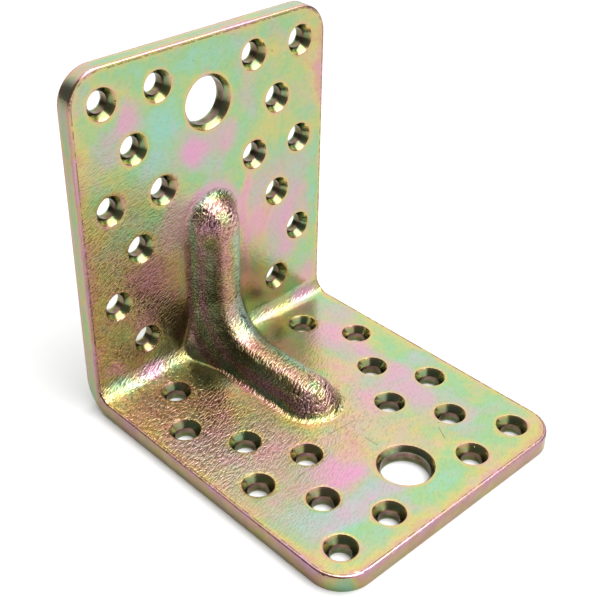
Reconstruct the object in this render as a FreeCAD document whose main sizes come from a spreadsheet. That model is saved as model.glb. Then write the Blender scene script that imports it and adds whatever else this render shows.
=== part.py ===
import FreeCAD, Part
import math
import os
import Sketcher

# Reinforced angle bracket: one sheet of steel, punched, folded to a right angle and
# stiffened by a rib pressed through both legs and the bend.
# Frame in millimetres: X along the bend, Y from the foot's free end to the wall leg's
# back face, Z up, origin under the middle of the base.
# The sketches measure from the corner line where the two outer faces would meet, and the
# body's placement then moves the finished piece to the frame.

NODE = "angle_bracket"

# Driving dimensions: cell alias, value in millimetres or degrees, meaning.
SIZES = [
    ("plate_width", 90.0, "width along the bend"),
    ("foot_length", 105.0, "outer corner to the foot's free end"),
    ("wall_height", 105.0, "outer corner to the wall leg's top"),
    ("sheet_thickness", 5.0, "steel sheet"),
    ("bend_radius", 5.0, "inside radius of the fold"),
    ("corner_radius", 10.0, "free corners of both legs"),
    ("edge_roll", 0.7, "rolled edge round the inner faces"),
    ("rib_base_width", 18.0, "rib width on the inner face"),
    ("rib_height", 8.0, "rib crest above the inner face"),
    ("rib_flank_angle", 60.0, "rib flank from the inner face"),
    ("rib_reach", 57.0, "outer corner to the far end of the rib"),
    ("rib_elbow_radius", 12.0, "crest line where it turns the corner"),
    ("rib_nose_radius", 0.8, "corners of the groove floor"),
    ("rib_root_radius", 2.5, "rib flank into the inner face"),
    ("screw_bore", 6.0, "screw hole"),
    ("screw_sink", 9.2, "mouth of the screw countersink"),
    ("bolt_bore", 14.0, "bolt hole"),
    ("bolt_sink", 16.4, "mouth of the bolt hole's chamfer"),
    ("sink_angle", 75.0, "included angle of both countersinks"),
    ("edge_margin", 10.0, "outer screw column to the side edge"),
    ("rib_margin", 8.0, "inner screw column to the rib"),
    ("end_margin", 10.0, "first screw row to the free end"),
    ("bend_margin", 17.5, "last screw row to the outer corner"),
    ("bolt_setback", 19.5, "bolt hole to the free end"),
]

# Expressions that several features share, in the aliases of the sheet.
WIDTH = "Sizes.plate_width"
THICK = "Sizes.sheet_thickness"
FOOT = "Sizes.foot_length"
WALL = "Sizes.wall_height"
OUTER_BEND = f"(Sizes.bend_radius + {THICK})"
RIB_HALF = "(Sizes.rib_base_width / 2)"
RIB_CREST = f"({THICK} + Sizes.rib_height)"
ELBOW = f"({RIB_CREST} + Sizes.rib_elbow_radius)"
DOME = f"(Sizes.rib_reach - {RIB_HALF})"
# The groove follows the rib one sheet thickness further in.
GROOVE_HALF = f"({RIB_HALF} - {THICK} / sin(Sizes.rib_flank_angle))"
GROOVE_FLOOR = "Sizes.rib_height"
# Root of the rib and groove sections behind the outer faces: past the outside of the bend.
ROOT = f"(({ELBOW} - {OUTER_BEND}) * sqrt(2) + {OUTER_BEND} - {ELBOW} + {THICK})"
TRIM_REACH = f"({ROOT} + {THICK})"
# Screw columns, from the middle of the plate.
OUTER_COLUMN = f"({WIDTH} / 2 - Sizes.edge_margin)"
INNER_COLUMN = f"({RIB_HALF} + Sizes.rib_margin)"
MIDDLE_COLUMN = f"(({OUTER_COLUMN} + {INNER_COLUMN}) / 2)"
# Screw rows of each column, counted from the free end of a leg.
LAST_ROW = 5
SCREW_ROWS = [
    (OUTER_COLUMN, (0, 2, 4)),
    (INNER_COLUMN, (0, 2)),
    (MIDDLE_COLUMN, (1, 3, 5)),
]

# How near a point lies to a face before it counts as on it.
TOUCH = 1e-4
# Shares of an edge's length at which it is tested.
SAMPLES = (0.1, 0.5, 0.9)

doc = FreeCAD.newDocument("angle_bracket")


def make_sheet():
    """The spreadsheet that holds the driving dimensions."""
    sheet = doc.addObject("Spreadsheet::Sheet", "Sizes")
    for row, (alias, size, meaning) in enumerate(SIZES, start=1):
        sheet.set(f"A{row}", meaning)
        sheet.set(f"B{row}", str(size))
        sheet.setAlias(f"B{row}", alias)
    doc.recompute()
    return sheet


sizes = make_sheet()
body = doc.addObject("PartDesign::Body", "AngleBracket")
body.Label = NODE


def value(expression):
    """The number that an expression has on the sheet."""
    return float(sizes.evalExpression(expression))


def origin_plane(role):
    """An origin plane of the body."""
    return next(plane for plane in body.Origin.OriginFeatures if plane.Role == role)


def new_sketch(name, role, offset="0"):
    """A sketch on an origin plane, moved along the plane's normal by an expression."""
    sketch = body.newObject("Sketcher::SketchObject", name)
    sketch.AttachmentSupport = [(origin_plane(role), "")]
    sketch.MapMode = "FlatFace"
    sketch.setExpression("AttachmentOffset.Base.z", offset)
    doc.recompute()
    return sketch


def relate(sketch, kind, *references):
    """A constraint that has no size."""
    sketch.addConstraint(Sketcher.Constraint(kind, *references))


def bind(sketch, kind, references, expression):
    """A dimension tied to the sheet."""
    size = value(expression)
    unit = ""
    if kind == "Angle":
        size = math.radians(size)
        unit = " * 1 deg"
    index = sketch.addConstraint(Sketcher.Constraint(kind, *references, size))
    sketch.setExpression(f"Constraints[{index}]", expression + unit)


def closed_outline(sketch, points):
    """Lines from point to point and back to the first, joined at their ends."""
    corners = [FreeCAD.Vector(x, y, 0) for x, y in points]
    for start, end in zip(corners, corners[1:] + corners[:1]):
        sketch.addGeometry(Part.LineSegment(start, end), False)
    for line in range(len(corners)):
        relate(sketch, "Coincident", line, 2, (line + 1) % len(corners), 1)


def new_feature(kind, name, profile):
    """A feature of the body that works on a profile sketch."""
    feature = body.newObject(kind, name)
    feature.Profile = profile
    doc.recompute()
    return feature


def finish_feature(feature):
    """Computes a feature and makes it the end of the body."""
    body.Tip = feature
    doc.recompute()
    if {"Invalid", "Error"} & set(feature.State) or not feature.Shape.isValid():
        raise RuntimeError(f"{feature.Name} failed: {feature.State} {feature.getStatusString()}")
    return feature


def require_change(before, feature, sign):
    """Raises an error unless the feature added (1) or removed (-1) material."""
    change = feature.Shape.Volume - before.Shape.Volume
    if change * sign <= 0:
        raise RuntimeError(f"{feature.Name} changed the volume by {change:.3f}")
    return feature


def edges_of(feature, is_wanted):
    """Names of the edges for which is_wanted(sample points, runs along the bend) holds."""
    names = []
    for number, edge in enumerate(feature.Shape.Edges, start=1):
        first, last = edge.ParameterRange
        points = [edge.valueAt(first + (last - first) * share) for share in SAMPLES]
        turns = max(abs(p.y - points[0].y) + abs(p.z - points[0].z) for p in points)
        if is_wanted(points, turns < TOUCH):
            names.append(f"Edge{number}")
    return names


def round_edges(name, base, names, radius):
    """A fillet over the named edges of a feature."""
    fillet = body.newObject("PartDesign::Fillet", name)
    fillet.Base = (base, names)
    fillet.setExpression("Radius", radius)
    return finish_feature(fillet)


def depth_of(point, corner):
    """How deep a point lies inside the outer faces, turned round a centre at corner."""
    if point.z >= corner:
        return -point.y
    if point.y <= -corner:
        return point.z
    return corner - math.hypot(point.y + corner, point.z - corner)


def loop_at(feature, corner, depth):
    """Names of the edges that run at one depth round the legs, not along the bend."""
    centre = value(corner)
    wanted = value(depth)

    def lies_there(points, along_bend):
        return not along_bend and all(abs(depth_of(p, centre) - wanted) < TOUCH for p in points)

    return edges_of(feature, lies_there)


def rib_loop(feature, depth):
    """Names of the edges where the rib or the groove leaves a face of the folded sheet."""
    centre = value(OUTER_BEND)
    wanted = value(depth)
    reach = value(INNER_COLUMN)

    def lies_there(points, along_bend):
        on_face = all(abs(depth_of(p, centre) - wanted) < TOUCH for p in points)
        return not along_bend and on_face and all(abs(p.x) < reach for p in points)

    return edges_of(feature, lies_there)


def folded_sheet():
    """The plain sheet with its inside bend, free corners and rolled inner outline."""
    foot, wall, thick = value(FOOT), value(WALL), value(THICK)
    section = new_sketch("FoldSection", "YZ_Plane")
    closed_outline(
        section,
        [(0, 0), (-foot, 0), (-foot, thick), (-thick, thick), (-thick, wall), (0, wall)],
    )
    base, toe, inner_foot, inner_wall, top, back = range(6)
    for line in (base, inner_foot, top):
        relate(section, "Horizontal", line)
    for line in (toe, inner_wall, back):
        relate(section, "Vertical", line)
    relate(section, "Coincident", base, 1, -1, 1)
    bind(section, "DistanceX", (base, 2, base, 1), FOOT)
    bind(section, "DistanceY", (back, 2, back, 1), WALL)
    bind(section, "DistanceY", (toe, 1, toe, 2), THICK)
    bind(section, "DistanceX", (top, 1, top, 2), THICK)
    sheet = new_feature("PartDesign::Pad", "FoldedSheet", section)
    sheet.setExpression("Length", WIDTH)
    sheet.Midplane = True
    finish_feature(sheet)

    def is_inner_corner(points, along_bend):
        return along_bend and abs(points[0].y + thick) + abs(points[0].z - thick) < TOUCH

    inner_corner = edges_of(sheet, is_inner_corner)
    bend = round_edges("InsideBend", sheet, inner_corner, "Sizes.bend_radius")

    def is_at_end(point):
        return abs(point.z - wall) < TOUCH or abs(point.y + foot) < TOUCH

    def is_free_corner(points, along_bend):
        on_side = all(abs(abs(p.x) - value(WIDTH) / 2) < TOUCH for p in points)
        return on_side and all(is_at_end(p) for p in points)

    free_corners = edges_of(bend, is_free_corner)
    corners = round_edges("FreeCorners", bend, free_corners, "Sizes.corner_radius")

    def is_inner_outline(points, along_bend):
        on_face = all(abs(depth_of(p, value(OUTER_BEND)) - thick) < TOUCH for p in points)
        return on_face and (is_at_end(points[1]) or not along_bend)

    inner_outline = edges_of(corners, is_inner_outline)
    return round_edges("RolledEdge", corners, inner_outline, "Sizes.edge_roll")


def rib_section(name, height, half_width, crest, is_half):
    """Section of the rib or the groove across the wall leg, crest towards the foot.

    half_width is measured at the inner face, and crest from the outer face. A half section
    ends at the middle of the rib. The full one also holds the axis of the elbow."""
    sketch = new_sketch(name, "XY_Plane", height)
    slope = math.tan(math.radians(value("Sizes.rib_flank_angle")))
    face, top, root, half = value(THICK), value(crest), value(ROOT), value(half_width)
    top_half = half - (top - face) / slope
    root_half = half + (root + face) / slope
    left = 0 if is_half else -1
    closed_outline(
        sketch,
        [(left * root_half, root), (root_half, root), (top_half, -top), (left * top_half, -top)],
    )
    root_line, flank, crest_line = range(3)
    if is_half:
        relate(sketch, "Horizontal", root_line)
        relate(sketch, "Horizontal", crest_line)
        relate(sketch, "PointOnObject", root_line, 1, -2)
        relate(sketch, "PointOnObject", crest_line, 2, -2)
    else:
        relate(sketch, "Symmetric", root_line, 1, root_line, 2, -2)
        relate(sketch, "Symmetric", crest_line, 1, crest_line, 2, -2)
    mark = sketch.addGeometry(Part.Point(FreeCAD.Vector(half, -face, 0)), True)
    relate(sketch, "PointOnObject", mark, 1, flank)
    bind(sketch, "DistanceX", (-1, 1, mark, 1), half_width)
    bind(sketch, "DistanceY", (mark, 1, -1, 1), THICK)
    bind(sketch, "DistanceY", (crest_line, 1, -1, 1), crest)
    bind(sketch, "DistanceY", (-1, 1, root_line, 2), ROOT)
    bind(sketch, "Angle", (root_line, 2, flank, 1), "Sizes.rib_flank_angle")
    if not is_half:
        ends = [FreeCAD.Vector(side * root_half, -value(ELBOW), 0) for side in (-1, 1)]
        axis = sketch.addGeometry(Part.LineSegment(*ends), True)
        relate(sketch, "Symmetric", axis, 1, axis, 2, -2)
        relate(sketch, "Vertical", axis, 2, root_line, 2)
        bind(sketch, "DistanceY", (axis, 1, -1, 1), ELBOW)
    doc.recompute()
    return sketch


def pressed_form(name, base, half_width, crest, kinds, sign):
    """The rib or the groove: a straight run, an elbow and a domed end, mirrored to the foot."""
    run_kind, turn_kind = kinds
    full = rib_section(f"{name}Section", ELBOW, half_width, crest, False)
    run = new_feature(run_kind, f"{name}Run", full)
    run.setExpression("Length", f"{DOME} - {ELBOW}")
    run.Reversed = sign < 0
    finish_feature(run)
    require_change(base, run, sign)
    elbow = new_feature(turn_kind, f"{name}Elbow", full)
    elbow.ReferenceAxis = (full, ["Axis0"])
    elbow.Angle = math.degrees(math.pi / 2)
    elbow.Reversed = True
    finish_feature(elbow)
    require_change(run, elbow, sign)
    half = rib_section(f"{name}DomeSection", DOME, half_width, crest, True)
    dome = new_feature(turn_kind, f"{name}Dome", half)
    dome.ReferenceAxis = (half, ["V_Axis"])
    dome.Angle = math.degrees(math.pi)
    dome.Reversed = True
    finish_feature(dome)
    require_change(elbow, dome, sign)
    on_foot = body.newObject("PartDesign::Mirrored", f"{name}OnFoot")
    on_foot.Originals = [run, dome]
    on_foot.MirrorPlane = (diagonal, [""])
    finish_feature(on_foot)
    return require_change(dome, on_foot, sign)


def trimmed_outside(base):
    """Cuts the rib's root and the outer corner back to the outside of the folded sheet."""
    foot, wall, bend, reach = value(FOOT), value(WALL), value(OUTER_BEND), value(TRIM_REACH)
    section = new_sketch("OutsideSection", "YZ_Plane")
    corners = [(0, bend), (0, wall), (reach, wall), (reach, -reach)]
    corners += [(-foot, -reach), (-foot, 0), (-bend, 0)]
    vectors = [FreeCAD.Vector(x, y, 0) for x, y in corners]
    for start, end in zip(vectors, vectors[1:]):
        section.addGeometry(Part.LineSegment(start, end), False)
    circle = Part.Circle(FreeCAD.Vector(-bend, bend, 0), FreeCAD.Vector(0, 0, 1), bend)
    arc = section.addGeometry(Part.ArcOfCircle(circle, -math.pi / 2, 0), False)
    back, over_top, far_back, under, past_toe, base_line = range(6)
    for line in range(base_line):
        relate(section, "Coincident", line, 2, line + 1, 1)
    relate(section, "Tangent", base_line, 2, arc, 1)
    relate(section, "Tangent", arc, 2, back, 1)
    for line in (over_top, under):
        relate(section, "Horizontal", line)
    for line in (far_back, past_toe):
        relate(section, "Vertical", line)
    relate(section, "PointOnObject", back, 2, -2)
    relate(section, "PointOnObject", base_line, 1, -1)
    relate(section, "Vertical", back)
    relate(section, "Horizontal", base_line)
    bind(section, "Radius", (arc,), OUTER_BEND)
    bind(section, "DistanceY", (-1, 1, back, 2), WALL)
    bind(section, "DistanceX", (base_line, 1, -1, 1), FOOT)
    bind(section, "DistanceX", (-1, 1, far_back, 1), TRIM_REACH)
    bind(section, "DistanceY", (under, 1, -1, 1), TRIM_REACH)
    doc.recompute()
    trim = new_feature("PartDesign::Pocket", "OutsideTrim", section)
    trim.Type = "ThroughAll"
    trim.Midplane = True
    finish_feature(trim)
    return require_change(base, trim, -1)


def ribbed_sheet(base):
    """The pressed rib: raised inside the angle, hollow outside, with one wall thickness."""
    rib = pressed_form(
        "Rib", base, RIB_HALF, RIB_CREST, ("PartDesign::Pad", "PartDesign::Revolution"), 1
    )
    trim = trimmed_outside(rib)
    groove = pressed_form(
        "Groove", trim, GROOVE_HALF, GROOVE_FLOOR, ("PartDesign::Pocket", "PartDesign::Groove"), -1
    )
    floor = loop_at(groove, ELBOW, GROOVE_FLOOR)
    nose = round_edges("GrooveFloor", groove, floor, "Sizes.rib_nose_radius")
    crest = loop_at(nose, ELBOW, RIB_CREST)
    crown = round_edges("RibCrest", nose, crest, f"Sizes.rib_nose_radius + {THICK}")
    root = rib_loop(crown, THICK)
    foot = round_edges("RibRoot", crown, root, "Sizes.rib_root_radius")
    lip = rib_loop(foot, "0")
    return round_edges("GrooveLip", foot, lip, f"Sizes.rib_root_radius + {THICK}")


def hole_row(leg, row):
    """Expression for a screw row's distance from the outer corner, row 0 by the free end."""
    pitch = f"({leg} - Sizes.end_margin - Sizes.bend_margin) / {LAST_ROW}"
    return f"({leg} - Sizes.end_margin - {row} * {pitch})"


def punch(name, base, sketch, bore, sink):
    """Countersunk holes through one leg at the circles of a sketch on its inner face."""
    hole = new_feature("PartDesign::Hole", name, sketch)
    hole.Threaded = False
    hole.DepthType = "ThroughAll"
    hole.DrillPoint = "Flat"
    hole.setExpression("Diameter", bore)
    hole.HoleCutType = "Countersink"
    hole.HoleCutCustomValues = True
    hole.setExpression("HoleCutDiameter", sink)
    hole.setExpression("HoleCutCountersinkAngle", "Sizes.sink_angle")
    finish_feature(hole)
    return require_change(base, hole, -1)


def add_hole_circle(sketch, column, row, side, bore):
    """A circle at a column and row of a leg; side says which way the leg runs on the sketch."""
    centre = FreeCAD.Vector(value(column), side * value(row), 0)
    circle = Part.Circle(centre, FreeCAD.Vector(0, 0, 1), value(bore) / 2)
    index = sketch.addGeometry(circle, False)
    bind(sketch, "Diameter", (index,), bore)
    bind(sketch, "DistanceX", (-1, 1, index, 3), column)
    ends = (-1, 1, index, 3) if side > 0 else (index, 3, -1, 1)
    bind(sketch, "DistanceY", ends, row)


def punched_leg(name, base, role, leg, side):
    """The screw holes and the bolt hole of one leg."""
    screws = new_sketch(f"{name}ScrewPlaces", role, THICK)
    for column, rows in SCREW_ROWS:
        for row in rows:
            add_hole_circle(screws, column, hole_row(leg, row), side, "Sizes.screw_bore")
    doc.recompute()
    right = punch(f"{name}Screws", base, screws, "Sizes.screw_bore", "Sizes.screw_sink")
    both = body.newObject("PartDesign::Mirrored", f"{name}ScrewsMirrored")
    both.Originals = [right]
    both.MirrorPlane = (origin_plane("YZ_Plane"), [""])
    finish_feature(both)
    require_change(right, both, -1)
    bolt = new_sketch(f"{name}BoltPlace", role, THICK)
    add_hole_circle(bolt, "0", f"({leg} - Sizes.bolt_setback)", side, "Sizes.bolt_bore")
    doc.recompute()
    return punch(f"{name}Bolt", both, bolt, "Sizes.bolt_bore", "Sizes.bolt_sink")


def diagonal_plane():
    """The plane that halves the angle between the legs and so swaps them."""
    foot_way, wall_way = FreeCAD.Vector(0, -1, 0), FreeCAD.Vector(0, 0, 1)
    plane = body.newObject("PartDesign::Plane", "Diagonal")
    plane.AttachmentSupport = [(origin_plane("XY_Plane"), "")]
    plane.MapMode = "FlatFace"
    turn = FreeCAD.Rotation(FreeCAD.Vector(0, 0, 1), wall_way - foot_way)
    plane.AttachmentOffset = FreeCAD.Placement(FreeCAD.Vector(0, 0, 0), turn)
    doc.recompute()
    return plane


def check_document():
    """Stops the build if anything in the document failed."""
    for item in doc.Objects:
        if {"Invalid", "Error"} & set(item.State):
            raise RuntimeError(f"{item.Name} failed: {item.State}")
    if body.Shape.isNull() or not body.Shape.isValid() or len(body.Shape.Solids) != 1:
        raise RuntimeError("the bracket is not one valid solid")


diagonal = diagonal_plane()
ribbed = ribbed_sheet(folded_sheet())
punched_foot = punched_leg("Foot", ribbed, "XY_Plane", FOOT, -1)
punched_leg("Wall", punched_foot, "XZ_Plane", WALL, 1)
body.setExpression("Placement.Base.y", f"{FOOT} / 2")
doc.recompute()
check_document()
os.makedirs("parts", exist_ok=True)
body.Shape.exportStep(f"parts/{NODE}.step")
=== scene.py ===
"""Dresses the reinforced angle bracket: its plated sheet, the studio floor, lights and camera."""

import math

import bmesh
import bpy
import numpy as np
from mathutils import Matrix, Vector, noise
from mathutils.geometry import delaunay_2d_cdt


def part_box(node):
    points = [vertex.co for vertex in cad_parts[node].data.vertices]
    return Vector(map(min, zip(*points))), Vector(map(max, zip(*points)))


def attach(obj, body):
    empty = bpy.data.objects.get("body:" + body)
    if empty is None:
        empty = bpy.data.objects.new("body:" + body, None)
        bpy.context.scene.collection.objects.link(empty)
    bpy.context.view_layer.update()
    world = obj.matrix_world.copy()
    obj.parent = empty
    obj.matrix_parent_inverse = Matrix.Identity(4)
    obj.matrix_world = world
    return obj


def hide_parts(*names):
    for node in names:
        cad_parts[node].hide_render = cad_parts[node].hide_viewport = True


bl_info = {
    "name": "Angle Bracket",
    "version": (1, 0, 0),
    "blender": (4, 5, 0),
    "location": "View3D > Sidebar > Bracket",
    "description": "Builds the yellow zinc plated angle bracket on a pale studio floor",
    "category": "Object",
}

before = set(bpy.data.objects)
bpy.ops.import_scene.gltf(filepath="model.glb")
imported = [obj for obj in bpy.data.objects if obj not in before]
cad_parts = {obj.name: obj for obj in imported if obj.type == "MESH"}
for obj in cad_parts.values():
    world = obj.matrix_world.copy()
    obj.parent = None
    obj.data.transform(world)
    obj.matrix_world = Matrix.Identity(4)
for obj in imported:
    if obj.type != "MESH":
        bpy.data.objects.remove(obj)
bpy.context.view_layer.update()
NODE = "angle_bracket"
BODY = "root"
MILLIMETRE = 0.001

# The sheet as it was made, in metres.
LOW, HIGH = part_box(NODE)
HALF_WIDTH = (HIGH.x - LOW.x) / 2
LEG = HIGH.z - LOW.z
BACK = HIGH.y
SHEET = 0.005
CORNER = 0.010
RIB_HALF = 0.009
DOME = 0.048
SCREW_MOUTH = 0.0046
BOLT_MOUTH = 0.0082
BOLT_SETBACK = 0.0195

# Screw rows count from a leg's free end: the first one's distance from the outer corner, the
# pitch, and each column's distance from the middle line with its rows.
FIRST_ROW = 0.095
ROW_PITCH = 0.0155
SCREWS = [(0.035, (0, 2, 4)), (0.017, (0, 2)), (0.026, (1, 3, 5))]

# How the mesh is made finer. The last two are shares of the mesh step and of its square.
WELD = 1e-6
FLAT_ANGLE = math.radians(0.02)
SHARP_ANGLE = math.radians(25)
PLANE_SLACK = 2e-6
REGION_AREA = 60e-6
SPLIT_PASSES = 8
CLEARANCE = 0.45
SLIVER = 1e-4

# Soft noises of the finish: scale per metre, detail and, where it has one, distortion.
FILM_DRIFT = (85.0, 3.0, 0.6)
FILM_MOTTLE = (420.0, 4.0, 0.4)
ROSE_DRIFT = (110.0, 4.0, 0.6)
SHADE_DRIFT = (300.0, 4.0)
WRINKLES = (1700.0, 1.5, 0.5)
PEEL = (650.0, 2.0)
PIT_GROUPS = (60.0, 2.0)
LINE_DOTS = (700.0, 2.0)
GLOSS_DRIFT = (150.0, 4.0)

# The spans of these noises that count.
CLOUD_SPAN = (0.3, 0.7)
ROSE_SPAN = (0.32, 0.68)
WRINKLE_SPAN = (0.38, 0.64)
DOT_SPAN = (0.42, 0.52)

# How far the film's thickness, the rose and the dark shares and the roughness drift.
DRIFT = 0.10
MOTTLE = 0.045
ROSE_CHANGE = 0.22
SHADE_CHANGE = (0.7, 1.3)
ROUGHNESS = (0.17, 0.26)

# The steel's wrinkles: their turn from straight across the plate, their stretch, the top of
# their valleys and how dark these are.
SLANT = math.radians(20)
WRINKLE_STRETCH = (0.30, 1.0, 1.0)
VALLEY_TOP = 0.4
VALLEY_DARK = 0.40

# The pits: cells per metre, a pit's floor and rim in shares of a cell, how rare its groups are,
# how dark it is, and its depth and the peel's height beside the wrinkles.
PIT_SCALE = 230.0
PIT_FLOOR = 0.035
PIT_RIM = 0.06
PIT_RARITY = 0.56
PIT_DARK = 0.7
PIT_DEPTH = 0.8
PEEL_HEIGHT = 0.50

# Fine scratches on the foot: each end's place across and from the outer corner, in metres.
SCRATCH_WIDTH = 0.00016
SCRATCH_DARK = 0.60
SCRATCHES = [
    ((-0.0063, 0.0622), (0.0036, 0.0628)),
    ((0.0001, 0.0702), (0.0002, 0.0746)),
    ((0.0187, 0.0815), (0.0163, 0.0858)),
    ((-0.0255, 0.0691), (-0.0224, 0.0688)),
]

# Lines along the rolled edge: the middle of each, in millimetres from the outline, with its
# share, then the half widths of its core and of its fade, and what places without a line carry.
DARK_LINE = (0.85, 0.65)
GOLD_LINE = (1.25, 0.45)
LINE_CORE = 0.08
LINE_REACH = 0.26
FAR_FROM_EDGE = 9.0


class BracketSizes(bpy.types.PropertyGroup):
    """Lengths of the finish and the studio."""

    edge_round: bpy.props.FloatProperty(
        name="Edge round", description="Rounding left on the punched edges",
        default=0.00018, min=0.00005, max=0.0005, unit="LENGTH", precision=5)
    mesh_step: bpy.props.FloatProperty(
        name="Mesh step", description="Longest edge of the finished mesh",
        default=0.0012, min=0.0006, max=0.005, unit="LENGTH", precision=5)
    wrinkle: bpy.props.FloatProperty(
        name="Wrinkle depth", description="Depth of the fine grain in the steel",
        default=0.00008, min=0.0, max=0.0005, unit="LENGTH", precision=6)
    floor_size: bpy.props.FloatProperty(
        name="Floor size", description="Side of the floor",
        default=6.0, min=1.0, max=20.0, unit="LENGTH")


class BracketColours(bpy.types.PropertyGroup):
    """Colours of the chromate film, of the steel under it, which also colours the painted shade, and of
    the floor.
    """

    lilac: bpy.props.FloatVectorProperty(
        name="Lilac", description="Thinnest film, at the edges of the sheet",
        default=(0.64, 0.36, 0.46), subtype="COLOR", min=0.0, max=1.0)
    peach: bpy.props.FloatVectorProperty(
        name="Peach", description="Film next to the edge band",
        default=(0.63, 0.38, 0.25), subtype="COLOR", min=0.0, max=1.0)
    yellow: bpy.props.FloatVectorProperty(
        name="Yellow", description="Film of the gold bands",
        default=(0.62, 0.54, 0.20), subtype="COLOR", min=0.0, max=1.0)
    green: bpy.props.FloatVectorProperty(
        name="Green", description="Film over most of the flats",
        default=(0.35, 0.56, 0.27), subtype="COLOR", min=0.0, max=1.0)
    teal: bpy.props.FloatVectorProperty(
        name="Teal", description="Film past the green",
        default=(0.32, 0.59, 0.47), subtype="COLOR", min=0.0, max=1.0)
    magenta: bpy.props.FloatVectorProperty(
        name="Magenta", description="Film of the rose patches",
        default=(0.72, 0.35, 0.52), subtype="COLOR", min=0.0, max=1.0)
    # Dark olive: the steel in scratches and pits, and also the colour of the painted shade in the holes
    # and of the painted reflections on the rib.
    steel: bpy.props.FloatVectorProperty(
        name="Olive steel", description="Dark tone in the recesses and on the pressed rib",
        default=(0.085, 0.065, 0.03), subtype="COLOR", min=0.0, max=1.0)
    floor: bpy.props.FloatVectorProperty(
        name="Floor", description="Pale floor, as the bracket reflects it",
        default=(0.73, 0.73, 0.73), subtype="COLOR", min=0.0, max=1.0)


WHITE = (1.0, 1.0, 1.0, 1.0)
FLOOR_ROUGHNESS = 0.8


class NodeKit:
    """Adds nodes to a tree, sets them up and wires them."""

    def __init__(self, tree):
        self.tree = tree

    def add(self, kind, inputs=None, **settings):
        """A new node. Each input takes a value or another node's socket."""
        node = self.tree.nodes.new(kind)
        for name, setting in settings.items():
            setattr(node, name, setting)
        for socket, source in (inputs or {}).items():
            if isinstance(source, bpy.types.NodeSocket):
                self.tree.links.new(source, node.inputs[socket])
            else:
                node.inputs[socket].default_value = source
        return node

    def maths(self, operation, *values, clamp=False):
        """The outcome of one calculation with values."""
        node = self.add("ShaderNodeMath", dict(enumerate(values)), operation=operation, use_clamp=clamp)
        return node.outputs[0]

    def vector_maths(self, operation, inputs, output=0):
        """The outcome of one calculation with vectors."""
        return self.add("ShaderNodeVectorMath", inputs, operation=operation).outputs[output]

    def spread(self, source, low, high, least, most, curve="LINEAR"):
        """Maps values between low and high to values between least and most."""
        ends = {"From Min": low, "From Max": high, "To Min": least, "To Max": most}
        node = self.add("ShaderNodeMapRange", {"Value": source, **ends}, interpolation_type=curve)
        return node.outputs[0]

    def clouds(self, place, scale, detail, distortion=0.0):
        """Soft noise between 0 and 1."""
        inputs = {"Vector": place, "Scale": scale, "Detail": detail, "Distortion": distortion}
        return self.add("ShaderNodeTexNoise", inputs).outputs["Fac"]

    def mixed(self, under, over, share, kind="RGBA"):
        """One colour or value laid over another by a share."""
        inputs = {"Factor": share, "A": under, "B": over}
        return self.add("ShaderNodeMix", inputs, data_type=kind).outputs["Result"]

    def attribute(self, name):
        """A value that the mesh carries at its vertices."""
        return self.add("ShaderNodeAttribute", attribute_name=name).outputs["Fac"]

    def camera_ray(self):
        """1 for what the camera sees directly, 0 for light and reflections."""
        return self.add("ShaderNodeLightPath").outputs["Is Camera Ray"]


def opaque(colour):
    """A colour with full alpha."""
    return (*colour, 1.0)


def empty_material(name):
    """A node material with nothing in its tree."""
    material = bpy.data.materials.new(name)
    material.use_nodes = True
    material.node_tree.nodes.clear()
    return material


def film_ramp(kit, thickness, colours):
    """Colours of the film from its thickness, given from 0 to 1."""
    ramp = kit.add("ShaderNodeValToRGB", {"Fac": thickness})
    stops = [
        (0.00, colours.lilac), (0.11, colours.peach), (0.23, colours.yellow),
        (0.40, colours.green), (0.60, colours.teal),
    ]
    elements = ramp.color_ramp.elements
    while len(elements) < len(stops):
        elements.new(0.5)
    for element, (place, colour) in zip(elements, stops):
        element.position = place
        element.color = opaque(colour)
    return ramp.outputs["Color"]


def film_colour(kit, place, colours):
    """The film, whose thickness drifts in soft clouds and in fine mottle, with its rose patches."""
    drift = kit.spread(kit.clouds(place, *FILM_DRIFT), *CLOUD_SPAN, -DRIFT, DRIFT)
    mottle = kit.spread(kit.clouds(place, *FILM_MOTTLE), *CLOUD_SPAN, -MOTTLE, MOTTLE)
    thickness = kit.maths("ADD", kit.maths("ADD", kit.attribute("film"), drift), mottle)
    rose_drift = kit.spread(kit.clouds(place, *ROSE_DRIFT), *ROSE_SPAN, -ROSE_CHANGE, ROSE_CHANGE)
    rose = kit.maths("ADD", kit.attribute("rose"), rose_drift, clamp=True)
    return kit.mixed(film_ramp(kit, thickness, colours), opaque(colours.magenta), rose)


def wrinkle_relief(kit, place):
    """Wrinkles that run across the plate, a little aslant."""
    turned = kit.add("ShaderNodeMapping", {"Vector": place, "Rotation": (0.0, SLANT, -SLANT)})
    stretched = kit.add("ShaderNodeMapping", {"Vector": turned.outputs[0], "Scale": WRINKLE_STRETCH})
    return kit.spread(kit.clouds(stretched.outputs[0], *WRINKLES), *WRINKLE_SPAN, 0.0, 1.0)


def pit_spots(kit, place):
    """A few small pits, in groups: 1 in a pit."""
    cells = kit.add("ShaderNodeTexVoronoi", {"Vector": place, "Scale": PIT_SCALE, "Randomness": 1.0})
    core = kit.spread(cells.outputs["Distance"], PIT_FLOOR, PIT_RIM, 1.0, 0.0)
    chosen = kit.maths("GREATER_THAN", kit.clouds(place, *PIT_GROUPS), PIT_RARITY)
    return kit.maths("MULTIPLY", core, chosen)


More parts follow.
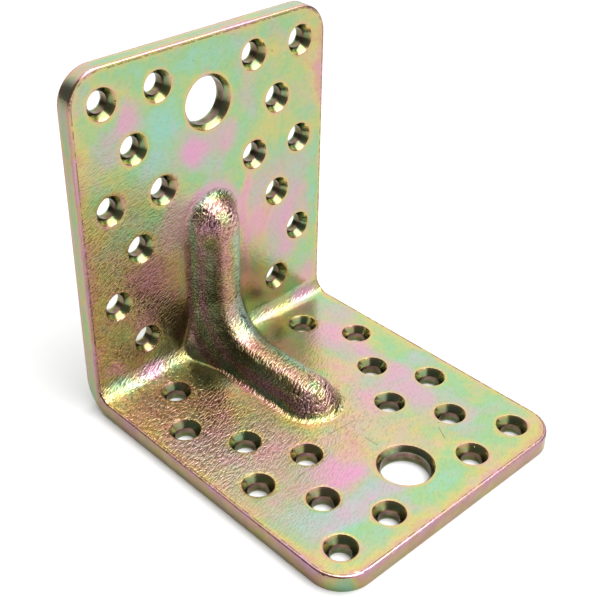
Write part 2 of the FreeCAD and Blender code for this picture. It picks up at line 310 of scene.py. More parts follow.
def scratched(kit, place, under, steel):
    """A colour with the fine dark scratches of the foot."""
    for ends in SCRATCHES:
        start, end = (Vector((across, BACK - along, LOW.z + SHEET)) for across, along in ends)
        run = end - start
        lead = kit.vector_maths("SUBTRACT", {0: place, 1: start})
        ahead = kit.vector_maths("DOT_PRODUCT", {0: lead, 1: run}, "Value")
        share = kit.spread(ahead, 0.0, run.length_squared, 0.0, 1.0)
        nearest = kit.vector_maths("SCALE", {0: run, "Scale": share})
        gap = kit.vector_maths("DISTANCE", {0: lead, 1: nearest}, "Value")
        line = kit.spread(gap, SCRATCH_WIDTH / 2, SCRATCH_WIDTH, SCRATCH_DARK, 0.0)
        under = kit.mixed(under, steel, line)
    return under


def edge_lined(kit, place, under, colours):
    """A colour with a dark line and a gold one along the rolled edge, both broken into dots."""
    dots = kit.spread(kit.clouds(place, *LINE_DOTS), *DOT_SPAN, 0.0, 1.0)
    edge = kit.attribute("edge")
    for (middle, share), colour in ((DARK_LINE, colours.steel), (GOLD_LINE, colours.yellow)):
        off = kit.maths("ABSOLUTE", kit.maths("SUBTRACT", edge, middle))
        line = kit.maths("MULTIPLY", kit.spread(off, LINE_CORE, LINE_REACH, share, 0.0), dots)
        under = kit.mixed(under, opaque(colour), line)
    return under


def zinc_material(sizes, colours):
    """Iridescent yellow zinc: film colours over a bright metal with a fine wrinkled grain, and painted
    shade and painted reflections in dark olive.
    """
    material = empty_material("yellow_zinc_film")
    kit = NodeKit(material.node_tree)
    place = kit.add("ShaderNodeTexCoord").outputs["Object"]
    grain = kit.attribute("grain")
    wrinkles = wrinkle_relief(kit, place)
    pits = pit_spots(kit, place)
    steel = opaque(colours.steel)

    # Dark olive laid by the vertices' dark share, broken up like the film itself: partly the film's own
    # olive, partly painted shade down the holes and painted reflections on the rib and low on the legs.
    # The colour is also darker in the wrinkles' valleys and in the pits.
    patchy = kit.spread(kit.clouds(place, *SHADE_DRIFT), *CLOUD_SPAN, *SHADE_CHANGE)
    shade = kit.maths("MULTIPLY", kit.attribute("shade"), patchy)
    valleys = kit.maths("MULTIPLY", kit.spread(wrinkles, 0.0, VALLEY_TOP, VALLEY_DARK, 0.0), grain)
    colour = kit.mixed(film_colour(kit, place, colours), steel, shade)
    colour = kit.mixed(colour, steel, valleys)
    colour = kit.mixed(colour, steel, kit.maths("MULTIPLY", pits, PIT_DARK))
    colour = scratched(kit, place, colour, steel)
    colour = edge_lined(kit, place, colour, colours)

    relief = kit.maths("MULTIPLY_ADD", kit.clouds(place, *PEEL), PEEL_HEIGHT, wrinkles)
    height = kit.maths("MULTIPLY_ADD", relief, grain, kit.maths("MULTIPLY", pits, -PIT_DEPTH))
    bump = kit.add("ShaderNodeBump", {"Height": height, "Strength": 1.0, "Distance": sizes.wrinkle})
    roughness = kit.spread(kit.clouds(place, *GLOSS_DRIFT), *CLOUD_SPAN, *ROUGHNESS)
    shader = kit.add(
        "ShaderNodeBsdfPrincipled",
        {"Base Color": colour, "Metallic": 1.0, "Roughness": roughness, "Normal": bump.outputs[0]})
    kit.add("ShaderNodeOutputMaterial", {"Surface": shader.outputs[0]})
    return material


def floor_material(colours):
    """Matt pale floor, whiter in the picture than in reflections."""
    material = empty_material("pale_floor")
    kit = NodeKit(material.node_tree)
    colour = kit.mixed(opaque(colours.floor), WHITE, kit.camera_ray())
    shader = kit.add("ShaderNodeBsdfPrincipled", {"Base Color": colour, "Roughness": FLOOR_ROUGHNESS})
    kit.add("ShaderNodeOutputMaterial", {"Surface": shader.outputs[0]})
    return material


def planar_regions(bm):
    """Groups of joined faces that lie in one plane and are large."""
    left = set(bm.faces)
    regions = []
    while left:
        region = [left.pop()]
        for face in region:
            for edge in face.edges:
                if edge.calc_face_angle(math.pi) < FLAT_ANGLE:
                    joined = [other for other in edge.link_faces if other in left]
                    region += joined
                    left.difference_update(joined)
        if sum(face.calc_area() for face in region) > REGION_AREA:
            regions.append(region)
    return regions


def region_plane(region):
    """A point and the outward normal of a region."""
    largest = max(region, key=lambda face: face.calc_area())
    return largest.calc_center_median(), largest.normal.copy()


def open_region(bm, region):
    """Takes a region's faces away, with the edges between them."""
    members = set(region)
    edges = {edge for face in region for edge in face.edges}
    seams = [edge for edge in edges if len(edge.link_faces) == 2 and members.issuperset(edge.link_faces)]
    bmesh.ops.delete(bm, geom=region, context="FACES_ONLY")
    bmesh.ops.delete(bm, geom=seams, context="EDGES")


def split_long_edges(bm, longest):
    """Halves long edges until none is longer than the given length."""
    for _ in range(SPLIT_PASSES):
        too_long = [edge for edge in bm.edges if edge.calc_length() > longest]
        if not too_long:
            return
        bmesh.ops.subdivide_edges(bm, edges=too_long, cuts=1)


def inside_outline(spots, outline, edges):
    """Which spots lie inside an outline that may have holes."""
    inside = np.zeros(len(spots), bool)
    for start, end in edges:
        (x0, y0), (x1, y1) = outline[start], outline[end]
        if y0 != y1:
            level = (y0 > spots[:, 1]) != (y1 > spots[:, 1])
            cut = x0 + (spots[:, 1] - y0) * (x1 - x0) / (y1 - y0)
            inside ^= level & (spots[:, 0] < cut)
    return inside


def even_spots(outline, edges, step):
    """Points of a triangular grid inside an outline and clear of its corners."""
    low, high = outline.min(0), outline.max(0)
    rows = np.arange(low[1] + step / 2, high[1], step * math.sqrt(3) / 2)
    grid = np.array([
        (x + (step / 2 if row % 2 else 0), y)
        for row, y in enumerate(rows)
        for x in np.arange(low[0] + step / 4, high[0], step)
    ]).reshape(-1, 2)
    grid = grid[inside_outline(grid, outline, edges)]
    return [spot for spot in grid if np.hypot(*(outline - spot).T).min() > CLEARANCE * step]


def fill_plane(bm, origin, normal, step):
    """Fills the open outline in a plane with even triangles."""
    rim = [
        edge for edge in bm.edges
        if len(edge.link_faces) < 2
        and all(abs((v.co - origin).dot(normal)) < PLANE_SLACK for v in edge.verts)
    ]
    corners = list({vert for edge in rim for vert in edge.verts})
    index = {vert: number for number, vert in enumerate(corners)}
    edges = [tuple(index[vert] for vert in edge.verts) for edge in rim]
    across = normal.orthogonal().normalized()
    along = normal.cross(across)
    outline = np.array([((v.co - origin).dot(across), (v.co - origin).dot(along)) for v in corners])
    spots = [Vector(spot) for spot in (*outline, *even_spots(outline, edges, step))]
    made, _, triangles, sources, _, _ = delaunay_2d_cdt(spots, edges, [], 0, WELD / 10)
    verts = []
    for place, source in zip(made, sources):
        spot = origin + place.x * across + place.y * along
        verts.append(corners[source[0]] if source[0] < len(corners) else bm.verts.new(spot))
    corner = np.array(made)[np.array(triangles)]
    sides = corner[:, 1:] - corner[:, :1]
    area = np.abs(sides[:, 0, 0] * sides[:, 1, 1] - sides[:, 0, 1] * sides[:, 1, 0]) / 2
    kept = inside_outline(corner.mean(1), outline, edges) & (area > SLIVER * step ** 2)
    for number in np.flatnonzero(kept):
        bm.faces.new([verts[place] for place in triangles[number]])


def drop_doubled_faces(bm):
    """Takes away slivers without area that lie on the same corners as another."""
    alike = {}
    for face in bm.faces:
        alike.setdefault(frozenset(face.verts), []).append(face)
    doubled = [face for faces in alike.values() if len(faces) > 1 for face in faces]
    bmesh.ops.delete(bm, geom=doubled, context="FACES")


def finished_mesh(sizes):
    """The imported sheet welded, with its punched edges rounded and its flats finely meshed."""
    bm = bmesh.new()
    bm.from_mesh(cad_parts[NODE].data)
    bmesh.ops.remove_doubles(bm, verts=bm.verts, dist=WELD)
    bmesh.ops.dissolve_limit(bm, angle_limit=FLAT_ANGLE, verts=bm.verts, edges=bm.edges)
    sharp = [edge for edge in bm.edges if edge.calc_face_angle(0) > SHARP_ANGLE]
    bmesh.ops.bevel(
        bm, geom=sharp, offset=sizes.edge_round, offset_type="OFFSET", segments=2,
        profile=0.5, affect="EDGES", clamp_overlap=True)
    bm.normal_update()
    regions = planar_regions(bm)
    planes = [region_plane(region) for region in regions]
    for region in regions:
        open_region(bm, region)
    split_long_edges(bm, sizes.mesh_step)
    for origin, normal in planes:
        fill_plane(bm, origin, normal, sizes.mesh_step)
    bmesh.ops.triangulate(bm, faces=bm.faces)
    drop_doubled_faces(bm)
    bmesh.ops.recalc_face_normals(bm, faces=bm.faces)
    mesh = bpy.data.meshes.new("bracket_body")
    bm.to_mesh(mesh)
    bm.free()
    mesh.shade_smooth()
    return mesh


def leg_places(points):
    """Across, along the nearer leg from the outer corner, deep from its outer face, and on the wall."""
    from_back = BACK - points[:, 1]
    from_base = points[:, 2] - LOW.z
    on_wall = from_base > from_back
    along = np.where(on_wall, from_base, from_back)
    deep = np.where(on_wall, from_back, from_base)
    return points[:, 0], along, deep, on_wall


def outline_distance(across, along):
    """Distance of a point of a leg from the leg's rounded outline."""
    x = np.abs(across) - (HALF_WIDTH - CORNER)
    y = along - (LEG - CORNER)
    outside = np.hypot(np.maximum(x, 0), np.maximum(y, 0))
    return CORNER - outside - np.minimum(np.maximum(x, y), 0)


def hole_places():
    """Each hole of a leg: across, along and the radius of its mouth."""
    holes = [(0.0, LEG - BOLT_SETBACK, BOLT_MOUTH)]
    for column, rows in SCREWS:
        for row in rows:
            for side in (-1, 1):
                holes.append((side * column, FIRST_ROW - row * ROW_PITCH, SCREW_MOUTH))
    return holes


def hole_distance(across, along):
    """Distance from the nearest hole's mouth, negative inside it."""
    gaps = [np.hypot(across - x, along - y) - mouth for x, y, mouth in hole_places()]
    return np.min(gaps, axis=0)


def rib_distance(across, along):
    """Distance from the rib's base line, negative on the rib."""
    return np.hypot(across, np.maximum(along - DOME, 0)) - RIB_HALF


def smooth_step(values, low, high):
    """0 below low, 1 above high and an even turn between."""
    share = np.clip((values - low) / (high - low), 0, 1)
    return share * share * (3 - 2 * share)


def band(values, middle, width):
    """A soft band: 1 in its middle."""
    return np.exp(-((values - middle) / width) ** 2)


def blend(old, new, share):
    """Moves values towards new ones by a share."""
    return old + (new - old) * share


# Soft patches on the inner faces, in millimetres and shares: across, along from the outer corner, half
# widths, then film thickness, rose share and dark share. Later ones lie on top. The dark shares, mostly
# low on the legs by the bend and the rib, are partly the film's own olive and partly painted shade and
# painted reflection.
WALL_PATCHES = [
    (-29, 26, 18, 36, 0.27, 0.24, 0.18), (-43, 62, 7, 16, 0.32, 0.00, 0.02),
    (-42, 24, 7, 30, 0.25, 0.03, 0.22), (-24, 31, 9, 15, 0.16, 0.50, 0.26),
    (-15, 15, 9, 11, 0.26, 0.25, 0.58), (-32, 14, 12, 5, 0.25, 0.18, 0.36),
    (-38, 12, 3, 3, 0.20, 0.90, 0.12), (-14, 52, 6, 12, 0.30, 0.66, 0.06),
    (-28, 57, 11, 5, 0.36, 0.20, 0.02), (-33, 82, 7, 7, 0.45, 0.50, 0.00),
    (-27, 88, 4, 7, 0.42, 0.80, 0.00), (-15, 85, 8, 8, 0.52, 0.04, 0.00),
    (-19, 72, 8, 6, 0.50, 0.14, 0.00), (0, 99, 14, 5, 0.50, 0.00, 0.00),
    (0, 73, 12, 8, 0.42, 0.50, 0.00), (-6, 72, 4, 4, 0.40, 0.90, 0.00),
    (6, 73, 4, 5, 0.40, 0.80, 0.00), (0, 66, 4, 4, 0.40, 0.20, 0.00),
    (15, 87, 5, 9, 0.40, 0.26, 0.00), (33, 90, 13, 14, 0.29, 0.03, 0.00),
    (44, 88, 4, 17, 0.19, 0.18, 0.00), (26, 71, 8, 6, 0.28, 0.02, 0.00),
    (40, 63, 6, 5, 0.27, 0.00, 0.00), (29, 40, 13, 17, 0.38, 0.74, 0.00),
    (19, 53, 7, 6, 0.40, 0.46, 0.00), (36, 57, 5, 6, 0.45, 0.36, 0.00),
    (43, 46, 4, 20, 0.50, 0.08, 0.00), (17, 31, 5, 13, 0.25, 0.24, 0.06),
    (19, 42, 5, 5, 0.18, 0.52, 0.00), (15, 19, 5, 10, 0.26, 0.12, 0.15),
    (24, 15, 8, 5, 0.22, 0.28, 0.10), (38, 14, 6, 5, 0.28, 0.58, 0.03),
    (13, 40, 2, 20, 0.10, 0.70, 0.00),
]
FOOT_PATCHES = [
    (-28, 35, 20, 27, 0.26, 0.36, 0.20), (-37, 45, 11, 14, 0.42, 0.58, 0.20),
    (-16, 15, 6, 9, 0.34, 0.10, 0.56), (-25, 28, 8, 8, 0.24, 0.36, 0.26),
    (-38, 19, 7, 8, 0.25, 0.20, 0.28), (-28, 59, 18, 9, 0.36, 0.66, 0.03),
    (-24, 72, 17, 10, 0.50, 0.72, 0.00), (-15, 76, 8, 7, 0.40, 0.98, 0.00),
    (-38, 79, 8, 9, 0.58, 0.50, 0.00), (-28, 88, 15, 6, 0.62, 0.50, 0.00),
    (-8, 88, 9, 5, 0.60, 0.54, 0.00), (-42, 64, 5, 8, 0.46, 0.36, 0.06),
    (4, 64, 13, 9, 0.24, 0.27, 0.00), (10, 79, 13, 12, 0.26, 0.12, 0.00),
    (-7, 69, 6, 7, 0.22, 0.46, 0.00), (-30, 97, 13, 5, 0.47, 0.04, 0.00),
    (-12, 96, 5, 4, 0.50, 0.34, 0.00), (2, 97, 10, 4, 0.42, 0.00, 0.00),
    (16, 61, 6, 8, 0.22, 0.56, 0.00), (27, 60, 8, 24, 0.40, 0.58, 0.00),
    (28, 31, 8, 13, 0.36, 0.78, 0.00), (39, 20, 7, 8, 0.42, 0.52, 0.00),
    (39, 43, 7, 11, 0.33, 0.02, 0.00), (40, 56, 5, 5, 0.45, 0.32, 0.00),
    (39, 76, 8, 16, 0.40, 0.05, 0.00), (26, 82, 6, 8, 0.48, 0.42, 0.00),
    (16, 26, 6, 16, 0.25, 0.26, 0.08), (16, 44, 5, 8, 0.22, 0.32, 0.00),
    (17, 14, 6, 6, 0.27, 0.14, 0.08), (28, 12, 8, 4, 0.25, 0.32, 0.12),
]
# The same on the bend, for both legs.
BEND_PATCHES = [
    (-38, 6, 5, 3, 0.40, 0.10, 0.00), (-26, 6, 5, 3, 0.30, 0.85, 0.00),
    (-17, 6, 4, 3, 0.24, 0.06, 0.00), (24, 6, 9, 3, 0.24, 0.16, 0.00),
    (38, 6, 6, 3, 0.30, 0.75, 0.00),
]
# Film of the parts without a patch, and rose and dark shares of the outer faces.
MIDDLE_FILM = 0.38
OUTER_ROSE = 0.28
OUTER_DARK = 0.12
# Across the rib: millimetres from its middle line, then film, rose and dark shares. The bands are partly
# the film's colours and partly painted reflections, and the dark shares, strongest on the left flank,
# are painted shade.
RIB_BANDS = [
    (-12.0, 0.22, 0.10, 0.35), (-10.4, 0.16, 0.45, 0.62), (-9.2, 0.18, 0.40, 0.66),
    (-8.4, 0.42, 0.00, 0.58), (-7.2, 0.10, 0.70, 0.62), (-6.2, 0.36, 0.10, 0.66),
    (-4.8, 0.28, 0.10, 0.80), (-3.5, 0.18, 0.30, 0.55), (-2.3, 0.17, 0.35, 0.08),
    (0.2, 0.20, 0.25, 0.00), (2.0, 0.42, 0.10, 0.00), (5.0, 0.45, 0.10, 0.25),
    (9.0, 0.30, 0.30, 0.25), (12.0, 0.10, 0.80, 0.00),
]
# Down the holes: millimetres above the outer face, then film, rose and dark shares. The dark shares are
# painted shade, darkest near the outer face.
HOLE_RINGS = [
    (0.0, 0.34, 0.00, 0.88), (1.5, 0.34, 0.00, 0.78), (2.0, 0.11, 0.60, 0.74),
    (2.8, 0.11, 0.75, 0.76), (3.0, 0.30, 0.05, 0.66), (3.7, 0.42, 0.00, 0.45),
    (4.4, 0.24, 0.05, 0.40), (5.0, 0.08, 0.20, 0.30),
]
# Up the sheared sides of each leg: millimetres above the outer face, then film.
FOOT_SIDE = [(0.0, 0.20), (0.8, 0.22), (3.2, 0.15), (4.6, 0.05)]
WALL_SIDE = [(0.0, 0.04), (0.6, 0.22), (1.4, 0.38), (3.6, 0.36), (4.6, 0.02)]
# How far, in metres, and how finely the patches' outlines wander, and the seed of that noise,
# which Blender would else take from the clock.
WANDER_REACH = 0.0024
WANDER_SCALE = 130.0
WANDER_SEED = 1

# Where one finish turns into the next, in millimetres: up from the outer face, along a leg to the rib's
# dome and past its bands, out from the rib's base line, and up to the light stretch of the foot's rib,
# which loses this share of its painted shade.
TO_INNER = (3.0, 4.4)
TO_DOME = (44, 50)
PAST_BANDS = (50, 56)
OFF_RIB = (1.2, 2.6)
TO_LIGHT_RIB = (20, 38)
LIGHT_SHARE = 0.8
# Sheared sides reach this far in and this high, in millimetres, and a hole's wall starts this
# far inside its mouth and this far above the outer face.
SIDE_REACH = 0.5
SIDE_HEIGHT = 4.6
WALL_START = 0.15
WALL_FLOOR = 0.1
# The rib's domed ends: the halo's middle and width and the crown's edge in millimetres, then
# their film and rose shares.
HALO_MIDDLE = 1.8
HALO_WIDTH = 1.8
CROWN_EDGE = 2.0
FOOT_HALO_FILM = 0.23
WALL_HALO_ROSE = 0.75
FOOT_HALO_ROSE = 0.12
CROWN_FILM = 0.14
CROWN_ROSE = 0.50
# The green spot on the crown: its place and width in millimetres, then film and rose.
SPOT_ACROSS = -1
SPOT_ALONG = 51
SPOT_WIDTH = 2.0
SPOT_FILM = 0.40
SPOT_ROSE = 0.05
# Thin film at the outline and the holes: how far it reaches in, in millimetres, on the left and
# right sides, at the wall's top, at the foot's end and round a hole, and into a hole's mouth,
# how long the top's and the front's stretch is, then film and rose.
THIN_LEFT = 2.2
THIN_RIGHT = 1.3
THIN_TOP = 1.0
THIN_FRONT = 2.4
THIN_ROUND_HOLE = 0.6
MOUTH_SLACK = 0.2
TOP_STRETCH = 6
FRONT_STRETCH = 10
RIM_FILM = 0.02
HOLE_FILM = 0.15
THIN_ROSE = 0.10
# The sheared sides' corners: place, width and stretch in millimetres, and the film added there.
SIDE_CORNER = 41
SIDE_CORNER_WIDTH = 2.2
SIDE_CORNER_STRETCH = 8
SIDE_CORNER_FILM = 0.34
# Rose and dark shares of the sheared sides.
WALL_SIDE_ROSE = 0.15
FOOT_SIDE_ROSE = 0.14
WALL_SIDE_DARK = 0.12
FOOT_SIDE_DARK = 0.24
# Strength of the wrinkles: everywhere, more in some places, and almost none on sheared steel.
GRAIN = 0.20
GRAIN_LEFT = 0.80
GRAIN_BY_DOME = 0.40
GRAIN_RIB = 0.90
GRAIN_BEND = 0.50
GRAIN_CROWN = 0.90
GRAIN_SHEARED = 0.10
# Where they are stronger, in millimetres: leftwards from the middle line, up to a height over
# which they fade, round a place by the foot's dome, and up to the end of the bend.
TO_LEFT = (8, 22)
LEFT_TOP = 70
LEFT_FADE = 25
BY_DOME_ACROSS = (0, 16)
BY_DOME_ALONG = (58, 18)
BEND_END = 10
BEND_FADE = 4


def wandering(points):
    """Points moved about by soft noise, so that patches get uneven outlines."""
    noise.seed_set(WANDER_SEED)
    return np.array([
        point + WANDER_REACH * np.array(noise.noise_vector(Vector(point) * WANDER_SCALE))
        for point in points
    ])


class SheetPlaces:
    """Where each vertex lies on the sheet, in millimetres, and how far it is in each zone."""

    def __init__(self, points):
        across, along, deep, self.on_wall = leg_places(points)
        self.on_foot = ~self.on_wall
        self.across = across / MILLIMETRE
        self.depth = deep / MILLIMETRE
        self.rim = outline_distance(across, along) / MILLIMETRE
        self.hole = hole_distance(across, along) / MILLIMETRE
        self.rib = rib_distance(across, along) / MILLIMETRE
        self.to_end = (LEG - along) / MILLIMETRE

        # Patches are laid by these places, which wander.
        soft_across, soft_along, _, _ = leg_places(wandering(points))
        self.soft_across = soft_across / MILLIMETRE
        self.soft_along = soft_along / MILLIMETRE

        self.inner = smooth_step(self.depth, *TO_INNER)
        self.on_side = (self.rim < SIDE_REACH) & (self.depth < SIDE_HEIGHT)
        self.in_hole = (self.hole < -WALL_START) & (self.depth > WALL_FLOOR)
        dome = self.inner * smooth_step(self.soft_along, *TO_DOME)
        self.halo = dome * band(self.rib, HALO_MIDDLE, HALO_WIDTH)
        self.crown = dome * smooth_step(-self.rib, 0.0, CROWN_EDGE)


def lay_patches(at, finish, patches, share):
    """Lays soft patches over the film, rose and dark shares."""
    for x, y, wide, tall, *values in patches:
        reach = ((at.soft_across - x) / wide) ** 2 + ((at.soft_along - y) / tall) ** 2
        weight = share * np.exp(-reach ** 2)
        finish = [blend(old, new, weight) for old, new in zip(finish, values)]
    return finish


def flat_finish(at):
    """Film, rose and dark shares of the flats and the bend."""
    outer = 1 - at.inner
    finish = [np.full_like(at.depth, MIDDLE_FILM), OUTER_ROSE * outer, OUTER_DARK * outer]
    finish = lay_patches(at, finish, WALL_PATCHES, at.inner * at.on_wall)
    finish = lay_patches(at, finish, FOOT_PATCHES, at.inner * at.on_foot)
    return lay_patches(at, finish, BEND_PATCHES, at.inner)


def rib_finish(at, finish):
    """The bands along the pressed rib, with their painted reflections and painted shade, lighter on the
    foot, and its domed ends with their halos.
    """
    place, *bands = np.array(RIB_BANDS).T
    near_rib = at.inner * (1 - smooth_step(at.rib, *OFF_RIB))
    on_rib = near_rib * (1 - smooth_step(at.soft_along, *PAST_BANDS))
    film, rose, dark = (
        blend(old, np.interp(at.across, place, new), on_rib)
        for old, new in zip(finish, bands)
    )
    dark *= 1 - LIGHT_SHARE * on_rib * at.on_foot * smooth_step(at.soft_along, *TO_LIGHT_RIB)

    # The halo is rose on the wall and gold on the foot, and the crown has a green spot.
    film = blend(film, FOOT_HALO_FILM, at.halo * at.on_foot)
    rose = blend(rose, np.where(at.on_wall, WALL_HALO_ROSE, FOOT_HALO_ROSE), at.halo)
    by_spot = band(at.across, SPOT_ACROSS, SPOT_WIDTH)
    spot = at.crown * by_spot * band(at.soft_along, SPOT_ALONG, SPOT_WIDTH)
    film = blend(blend(film, CROWN_FILM, at.crown), SPOT_FILM, spot)
    rose = blend(blend(rose, CROWN_ROSE, at.crown), SPOT_ROSE, spot)
    dark = blend(dark, 0.0, np.maximum(at.halo, at.crown))
    return film, rose, dark


def edge_finish(at, finish):
    """The film thins towards the outline and round each hole."""
    film, rose, dark = finish
    reach = np.where(at.across < 0, THIN_LEFT, THIN_RIGHT)
    reach = np.where(at.on_wall & (at.to_end < TOP_STRETCH), THIN_TOP, reach)
    reach = np.where(at.on_foot & (at.to_end < FRONT_STRETCH), THIN_FRONT, reach)
    near_rim = at.inner * np.exp(-np.maximum(at.rim, 0) / reach)
    near_hole = at.inner * np.exp(-np.maximum(at.hole, 0) / THIN_ROUND_HOLE) * (at.hole > -MOUTH_SLACK)
    film = blend(blend(film, RIM_FILM, near_rim), HOLE_FILM, near_hole)
    rose = blend(blend(rose, THIN_ROSE, near_rim), THIN_ROSE, near_hole)
    return film, rose, dark


def side_finish(at, finish):
    """The sheared sides: a pale upper band, tan below it, green at the corners."""
    film, rose, dark = finish
    corner = band(np.abs(at.across), SIDE_CORNER, SIDE_CORNER_WIDTH) * (at.to_end < SIDE_CORNER_STRETCH)
    foot_film = np.interp(at.depth, *zip(*FOOT_SIDE)) + SIDE_CORNER_FILM * corner
    wall_film = np.interp(at.depth, *zip(*WALL_SIDE))
    side_rose = np.where(at.on_wall, WALL_SIDE_ROSE, FOOT_SIDE_ROSE * (1 - corner))
    side_dark = np.where(at.on_wall, WALL_SIDE_DARK, FOOT_SIDE_DARK)
    film = np.where(at.on_side, np.where(at.on_wall, wall_film, foot_film), film)
    rose = np.where(at.on_side, side_rose, rose)
    dark = np.where(at.on_side, side_dark, dark)
    return film, rose, dark


def hole_finish(at, finish):
    """Inside the holes the film follows the depth, with painted shade that darkens towards the outer
    face.
    """
    level, *rings = np.array(HOLE_RINGS).T
    return [
        np.where(at.in_hole, np.interp(at.depth, level, ring), old)
        for old, ring in zip(finish, rings)
    ]


def grain_strength(at):
    """How strong the wrinkles are: more at the left, by the foot's dome, on the rib and the bend."""
    left = smooth_step(-at.soft_across, *TO_LEFT) * smooth_step(LEFT_TOP - at.soft_along, 0, LEFT_FADE)
    by_dome = band(at.soft_across, *BY_DOME_ACROSS) * band(at.soft_along, *BY_DOME_ALONG) * at.on_foot
    bend = smooth_step(BEND_END - at.soft_along, 0, BEND_FADE)
    grain = GRAIN + GRAIN_LEFT * left + GRAIN_BY_DOME * by_dome
    grain = grain + GRAIN_RIB * (at.rib < OFF_RIB[0]) + GRAIN_BEND * bend
    return np.where(at.in_hole | at.on_side, GRAIN_SHEARED, grain) + GRAIN_CROWN * at.crown


def finish_values(points):
    """What the material reads at each vertex."""
    at = SheetPlaces(points)
    finish = flat_finish(at)
    for lay in (rib_finish, edge_finish, side_finish, hole_finish):
        finish = lay(at, finish)
    film, rose, dark = finish
    edge = np.where(at.inner > 0.5, np.minimum(at.rim, FAR_FROM_EDGE), FAR_FROM_EDGE)
    return {"film": film, "rose": rose, "shade": dark, "grain": grain_strength(at), "edge": edge}


class BRACKET_OT_body(bpy.types.Operator):
    """Build the plated sheet with its rounded edges and film colours"""

    bl_idname = "bracket.body"
    bl_label = "Bracket body"

    def execute(self, context):
        sizes, colours = context.scene.bracket_sizes, context.scene.bracket_colours
        mesh = finished_mesh(sizes)
        points = np.array([vert.co for vert in mesh.vertices])
        for name, values in finish_values(points).items():
            layer = mesh.attributes.new(name, "FLOAT", "POINT")
            layer.data.foreach_set("value", values.astype(np.float32))
        mesh.materials.append(zinc_material(sizes, colours))
        body = bpy.data.objects.new("bracket_body", mesh)
        context.scene.collection.objects.link(body)
        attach(body, BODY)
        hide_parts(NODE)
        return {"FINISHED"}


# Camera: where it stands round the bracket, and how it frames it.
CAMERA_AZIMUTH = math.radians(-44.30)
CAMERA_ELEVATION = math.radians(33.58)
CAMERA_ROLL = math.radians(1.06)
CAMERA_DISTANCE = 0.31951
CAMERA_AIM = (0.0, BACK - 0.030, 0.040)
CAMERA_SHIFT = (0.00893, -0.00653)
CLIP_START = 0.01
SENSOR = 36.0
FRAME_PIXELS = 600
FOCAL_PIXELS = 1115.17


def place_camera(scene):
    """The camera at the photograph's angle."""
    back = Vector((
        math.sin(CAMERA_AZIMUTH) * math.cos(CAMERA_ELEVATION),
        -math.cos(CAMERA_AZIMUTH) * math.cos(CAMERA_ELEVATION),
        math.sin(CAMERA_ELEVATION),
    ))
    right = (-back).cross(Vector((0, 0, 1))).normalized()
    up = right.cross(-back)
    target = Vector(CAMERA_AIM) + CAMERA_SHIFT[0] * right + CAMERA_SHIFT[1] * up
    turn = Matrix.Rotation(CAMERA_ROLL, 3, back)
    right, up = turn @ right, turn @ up
    data = bpy.data.cameras.new("photo_camera")
    data.sensor_width = SENSOR
    data.lens = FOCAL_PIXELS / FRAME_PIXELS * SENSOR
    data.clip_start = CLIP_START
    camera = bpy.data.objects.new("photo_camera", data)
    axes = Matrix((right, up, back)).transposed()
    camera.matrix_world = Matrix.Translation(target + back * CAMERA_DISTANCE) @ axes.to_4x4()
    scene.collection.objects.link(camera)
    scene.camera = camera


# The softbox above the bracket.
SOFTBOX_PLACE = Vector((0.14, -0.14, 0.66))
SOFTBOX_AIM = Vector((0.0, 0.0, 0.04))
SOFTBOX_SIZE = 0.62
SOFTBOX_POWER = 4.8


def add_softbox(scene):
    """A square area light, aimed at the bracket."""
    data = bpy.data.lights.new("top_softbox", "AREA")
    data.size = SOFTBOX_SIZE
    data.energy = SOFTBOX_POWER
    light = bpy.data.objects.new("top_softbox", data)
    light.location = SOFTBOX_PLACE
    light.rotation_euler = (SOFTBOX_AIM - SOFTBOX_PLACE).to_track_quat("-Z", "Y").to_euler()
    scene.collection.objects.link(light)


# Soft lights of the room: azimuth and elevation, full and end angle from the middle, strength.
ROOM_LEVEL = 0.11
ROOM_LIGHTS = [
    (-70, 32, 26, 40, 0.82),
    (52, 42, 30, 62, 1.12),
    (-84, 15, 5, 13, 0.6),
]


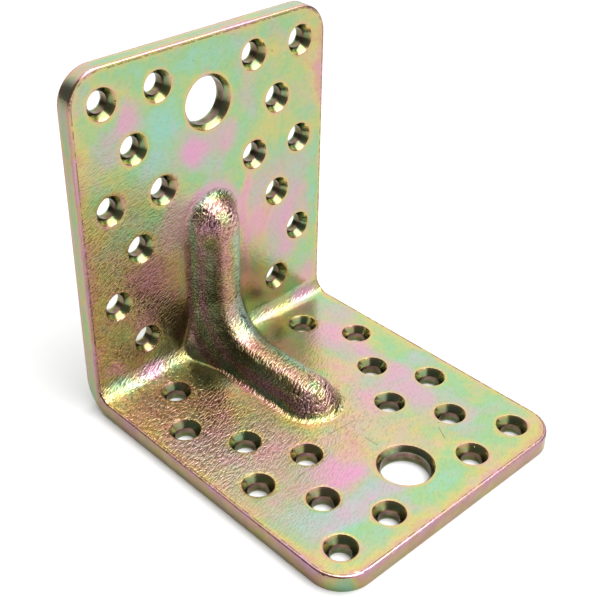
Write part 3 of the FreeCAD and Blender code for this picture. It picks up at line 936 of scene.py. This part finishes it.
def add_world(scene):
    """A dark room, white to the camera, with soft lights in front and behind on the right."""
    world = bpy.data.worlds.new("studio_world")
    world.use_nodes = True
    world.node_tree.nodes.clear()
    kit = NodeKit(world.node_tree)
    way = kit.add("ShaderNodeTexCoord").outputs["Generated"]
    level = ROOM_LEVEL
    for azimuth, elevation, full, end, strength in ROOM_LIGHTS:
        turn, lift = math.radians(azimuth), math.radians(elevation)
        middle = (math.cos(turn) * math.cos(lift), math.sin(turn) * math.cos(lift), math.sin(lift))
        near = kit.vector_maths("DOT_PRODUCT", {0: way, 1: middle}, "Value")
        outer, inner = math.cos(math.radians(end)), math.cos(math.radians(full))
        glow = kit.spread(near, outer, inner, 0.0, strength, "SMOOTHSTEP")
        level = kit.maths("ADD", glow, level)
    shown = kit.mixed(level, 1.0, kit.camera_ray(), "FLOAT")
    light = kit.add("ShaderNodeBackground", {"Color": WHITE, "Strength": shown})
    kit.add("ShaderNodeOutputWorld", {"Surface": light.outputs[0]})
    scene.world = world


def add_floor(scene, side, colours):
    """A plain square floor under the bracket."""
    half = side / 2
    mesh = bpy.data.meshes.new("floor")
    corners = [(-half, -half, LOW.z), (half, -half, LOW.z), (half, half, LOW.z), (-half, half, LOW.z)]
    mesh.from_pydata(corners, [], [(0, 1, 2, 3)])
    mesh.materials.append(floor_material(colours))
    floor = bpy.data.objects.new("floor", mesh)
    scene.collection.objects.link(floor)


class BRACKET_OT_studio(bpy.types.Operator):
    """Build the floor, the lights and the camera"""

    bl_idname = "bracket.studio"
    bl_label = "Studio"

    def execute(self, context):
        scene = context.scene
        add_floor(scene, scene.bracket_sizes.floor_size, scene.bracket_colours)
        add_softbox(scene)
        add_world(scene)
        place_camera(scene)
        scene.view_settings.view_transform = "Standard"
        return {"FINISHED"}


class BRACKET_PT_panel(bpy.types.Panel):
    """Lists the bracket's sizes, colours and operators"""

    bl_label = "Angle bracket"
    bl_idname = "BRACKET_PT_panel"
    bl_space_type = "VIEW_3D"
    bl_region_type = "UI"
    bl_category = "Bracket"

    def draw(self, context):
        for group in (context.scene.bracket_sizes, context.scene.bracket_colours):
            for name in group.__annotations__:
                self.layout.prop(group, name)
        for operator in OPERATORS:
            self.layout.operator(operator.bl_idname)


OPERATORS = (BRACKET_OT_body, BRACKET_OT_studio)
CLASSES = (BracketSizes, BracketColours, *OPERATORS, BRACKET_PT_panel)


def register():
    """Adds the classes and hangs the settings on the scene."""
    for item in CLASSES:
        bpy.utils.register_class(item)
    bpy.types.Scene.bracket_sizes = bpy.props.PointerProperty(type=BracketSizes)
    bpy.types.Scene.bracket_colours = bpy.props.PointerProperty(type=BracketColours)


def unregister():
    """Takes the settings and the classes away."""
    del bpy.types.Scene.bracket_colours
    del bpy.types.Scene.bracket_sizes
    for item in reversed(CLASSES):
        bpy.utils.unregister_class(item)


def main():
    """Builds everything."""
    register()
    bpy.ops.bracket.body()
    bpy.ops.bracket.studio()


if __name__ == "__main__":
    main()
